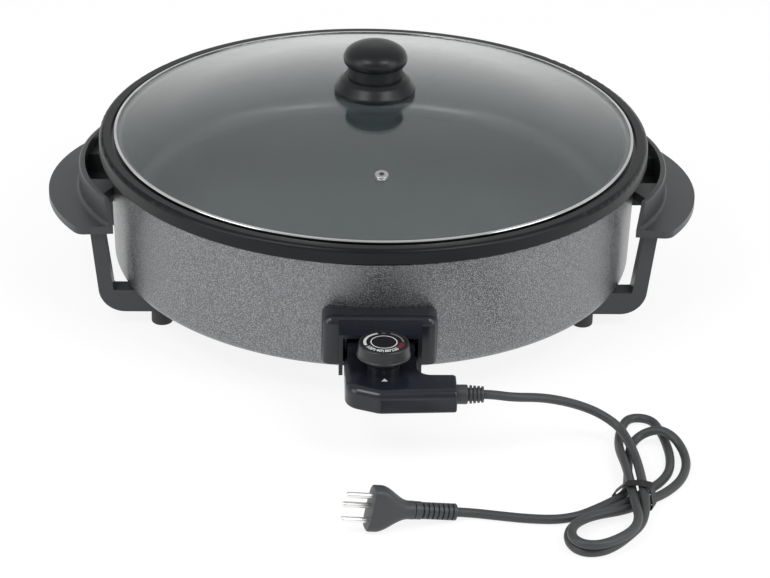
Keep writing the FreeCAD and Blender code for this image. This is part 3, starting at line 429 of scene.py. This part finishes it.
# Thermostat
# Two black mouldings screwed together, with the probe and contacts at the back and a ribbed sleeve
# where the cord leaves.
for outside in ("controller_cover", "controller_base", "dial_collar"):
    finish_node(outside, housing_skin)
finish_node("strain_relief", plug_skin)
finish_node("contact_carrier", ceramic)
brass = grained("contact_brass", (0.75, 0.55, 0.25), 0.3, metallic=1.0)
finish_node("contact_sockets", brass)
finish_node("switch_blades", brass)
for inside in ("probe_rod", "housing_screws", "switch_frame", "cord_clamp", "dial_spindle"):
    finish_node(inside, plain_steel)

# Dial
# Black knob on the thermostat with a printed face: an inner ring, a broad arc, a fine arc, a tick,
# the settings along the front and a red field for the hottest one. A white pointer on the housing
# shows the setting.
finish_node("dial_knob", grained("dial_black", (0.014, 0.015, 0.017), 0.34, depth=0.06))
finish_node("dial_plate", grained("dial_face", (0.006, 0.006, 0.008), 0.33, depth=0.03,
                                  uneven=0.03))
dial_centre = Vector((0.0015, -0.253, 0.0))
print_low, print_high = 0.08226, 0.08228


def add_field(shape, inner, outer, first, last, thinner=1.0):
    """Printed field between two radii in millimetres and two angles in degrees; its outer edge
    draws in to the given share of its width at the far end."""
    steps = max(2, round(abs(last - first) / 4))
    rows = []
    for k in range(steps + 1):
        turn = math.radians(first + (last - first) * k / steps)
        reach = inner + (outer - inner) * (1.0 + (thinner - 1.0) * k / steps)
        way = Vector((math.cos(turn), math.sin(turn), 0.0))
        rows.append([shape.verts.new(dial_centre + way * (mm * r) + Vector((0, 0, z)))
                     for r, z in ((inner, print_low), (reach, print_low), (reach, print_high),
                                  (inner, print_high))])
    closed = abs(last - first) >= 360
    if closed:
        for a, b in zip(rows[-1], rows[0]):
            a.co = b.co
    for one, two in zip(rows, rows[1:]):
        for k in range(4):
            shape.faces.new((one[k], one[(k + 1) % 4], two[(k + 1) % 4], two[k]))
    if closed:
        bmesh.ops.remove_doubles(shape, verts=rows[0] + rows[-1], dist=1e-7)
    else:
        shape.faces.new(rows[0])
        shape.faces.new(rows[-1][::-1])


def add_numeral(shape, words, angle, radius, tall, broad):
    """Numeral of the given height and width in millimetres, its head towards the dial's centre."""
    text = bpy.data.curves.new("numeral", "FONT")
    text.body = words
    text.extrude = 0.5
    text.offset = 0.03
    text.resolution_u = 3
    holder = bpy.data.objects.new("numeral", text)
    shop.collection.objects.link(holder)
    bpy.context.view_layer.update()
    solved = holder.evaluated_get(bpy.context.evaluated_depsgraph_get())
    flat = bpy.data.meshes.new_from_object(solved)
    bpy.data.objects.remove(holder)
    low = [min(v.co[k] for v in flat.vertices) for k in range(3)]
    high = [max(v.co[k] for v in flat.vertices) for k in range(3)]
    turn = math.radians(angle)
    head = Vector((-math.cos(turn), -math.sin(turn), 0.0))
    right = Vector((head.y, -head.x, 0.0))
    for v in flat.vertices:
        u, w, h = ((v.co[k] - low[k]) / (high[k] - low[k]) for k in range(3))
        height = Vector((0, 0, print_low + (print_high - print_low) * h))
        v.co = (dial_centre - head * (mm * radius) + right * (mm * broad * (u - 0.5))
                + head * (mm * tall * (w - 0.5)) + height)
    shape.from_mesh(flat)


white_ink = grained("white_ink", (0.68, 0.69, 0.70), 0.45, depth=0.03)
grey_ink = grained("grey_ink", (0.16, 0.165, 0.17), 0.45, depth=0.03)
red_ink = grained("red_ink", (0.12, 0.014, 0.028), 0.45, depth=0.03)
marks = bmesh.new()
add_field(marks, 8.7, 9.5, 0, 360)
for words, angle in (("100", 222), ("140", 250), ("180", 277), ("220", 303)):
    add_numeral(marks, words, angle, 12.9, 3.7, 5.7)
dial_marks = finished("dial_marks", marks, white_ink, "dial", smooth=False)
arcs = bmesh.new()
add_field(arcs, 12.4, 14.6, 200, 108, thinner=0.75)
dial_arc = finished("dial_arc", arcs, white_ink, "dial", smooth=False)
faint = bmesh.new()
add_field(faint, 12.8, 14.2, 68, 2)
add_field(faint, 12.6, 13.6, 95, 83)
dial_faint = finished("dial_faint_arc", faint, grey_ink, "dial", smooth=False)
hot = bmesh.new()
add_field(hot, 10.6, 14.9, 317, 355)
dial_hot = finished("dial_hot_field", hot, red_ink, "dial", smooth=False)

pointer_outline = ((-0.3, -271.3), (4.1, -271.3), (1.9, -267.2))
pointer_low, pointer_high = 0.06102, 0.06106
arrow = bmesh.new()
floor_row = [arrow.verts.new((mm * x, mm * y, pointer_low)) for x, y in pointer_outline]
roof_row = [arrow.verts.new((mm * x, mm * y, pointer_high)) for x, y in pointer_outline]
arrow.faces.new(floor_row)
arrow.faces.new(roof_row)
for k in range(3):
    arrow.faces.new((floor_row[k], floor_row[(k + 1) % 3], roof_row[(k + 1) % 3], roof_row[k]))
dial_pointer = finished("dial_pointer", arrow, white_ink, "thermostat", smooth=False)

# Studio
# Pale floor that reads as white, a sky that is brightest low down behind, two soft lamps above the
# front and one at each side.


def stage_skin():
    """Matt white that lights the object from below and shows its shadow only faintly."""
    made = bpy.data.materials.new("studio_white")
    made.use_nodes = True
    tree = made.node_tree
    lit = tree.nodes["Principled BSDF"]
    lit.inputs["Base Color"].default_value = (0.80, 0.80, 0.80, 1)
    lit.inputs["Roughness"].default_value = 0.9
    faint = tree.nodes.new("ShaderNodeBsdfDiffuse")
    faint.inputs["Color"].default_value = (0.20, 0.20, 0.20, 1)
    glow = tree.nodes.new("ShaderNodeEmission")
    glow.inputs["Strength"].default_value = 0.84
    pale = tree.nodes.new("ShaderNodeAddShader")
    rays = tree.nodes.new("ShaderNodeLightPath")
    seen = tree.nodes.new("ShaderNodeMath")
    seen.operation = "MAXIMUM"
    mirrored = tree.nodes.new("ShaderNodeMath")
    mirrored.operation = "MAXIMUM"
    both = tree.nodes.new("ShaderNodeMixShader")
    for a, b in ((rays.outputs["Is Camera Ray"], seen.inputs[0]),
                 (rays.outputs["Is Glossy Ray"], mirrored.inputs[0]),
                 (rays.outputs["Is Transmission Ray"], mirrored.inputs[1]),
                 (mirrored.outputs[0], seen.inputs[1]),
                 (seen.outputs[0], both.inputs[0]),
                 (faint.outputs[0], pale.inputs[0]),
                 (glow.outputs[0], pale.inputs[1]),
                 (lit.outputs[0], both.inputs[1]),
                 (pale.outputs[0], both.inputs[2]),
                 (both.outputs[0], tree.nodes["Material Output"].inputs["Surface"])):
        tree.links.new(a, b)
    return made


ground = bmesh.new()
bmesh.ops.create_grid(ground, x_segments=1, y_segments=1, size=6.0)
floor_mesh = bpy.data.meshes.new("studio_floor")
ground.to_mesh(floor_mesh)
ground.free()
studio_floor = bpy.data.objects.new("studio_floor", floor_mesh)
floor_mesh.materials.append(stage_skin())
shop.collection.objects.link(studio_floor)

sky = bpy.data.worlds.new("studio")
sky.use_nodes = True
shop.world = sky
sky_tree = sky.node_tree
sky_tree.nodes["Background"].inputs["Color"].default_value = (1.0, 1.0, 1.0, 1.0)
sky_place = sky_tree.nodes.new("ShaderNodeTexCoord")
sky_parts = sky_tree.nodes.new("ShaderNodeSeparateXYZ")
sky_fade = sky_tree.nodes.new("ShaderNodeMapRange")
sky_fade.interpolation_type = "SMOOTHSTEP"
sky_fade.inputs["From Min"].default_value = -0.05
sky_fade.inputs["From Max"].default_value = 0.5
sky_fade.inputs["To Min"].default_value = 0.95
sky_fade.inputs["To Max"].default_value = 0.60
sky_depth = sky_tree.nodes.new("ShaderNodeMapRange")
sky_depth.inputs["From Min"].default_value = -1.0
sky_depth.inputs["To Min"].default_value = 0.55
sky_product = sky_tree.nodes.new("ShaderNodeMath")
sky_product.operation = "MULTIPLY"
for a, b in ((sky_place.outputs["Generated"], sky_parts.inputs[0]),
             (sky_parts.outputs["Z"], sky_fade.inputs["Value"]),
             (sky_parts.outputs["Y"], sky_depth.inputs["Value"]),
             (sky_fade.outputs[0], sky_product.inputs[0]),
             (sky_depth.outputs[0], sky_product.inputs[1]),
             (sky_product.outputs[0], sky_tree.nodes["Background"].inputs["Strength"])):
    sky_tree.links.new(a, b)


lamp_target = Vector((0, 0, 0.08))


def soft_lamp(name, spot, width, height, watts):
    """Rectangular lamp that points at the middle of the pan."""
    light = bpy.data.lights.new(name, "AREA")
    light.shape = "RECTANGLE"
    light.size, light.size_y, light.energy = width, height, watts
    lamp = bpy.data.objects.new(name, light)
    shop.collection.objects.link(lamp)
    towards = (lamp_target - Vector(spot)).normalized()
    turned = towards.to_track_quat("-Z", "Y").to_matrix().to_4x4()
    lamp.matrix_world = Matrix.Translation(spot) @ turned


soft_lamp("front_left_box", (-0.85, -1.0, 1.55), 0.7, 0.7, 9)
soft_lamp("front_right_box", (0.85, -1.0, 1.55), 0.7, 0.7, 9)
soft_lamp("left_box", (-1.7, -0.9, 0.8), 1.0, 1.2, 8)
soft_lamp("right_box", (1.7, -0.9, 0.8), 1.0, 1.2, 8)
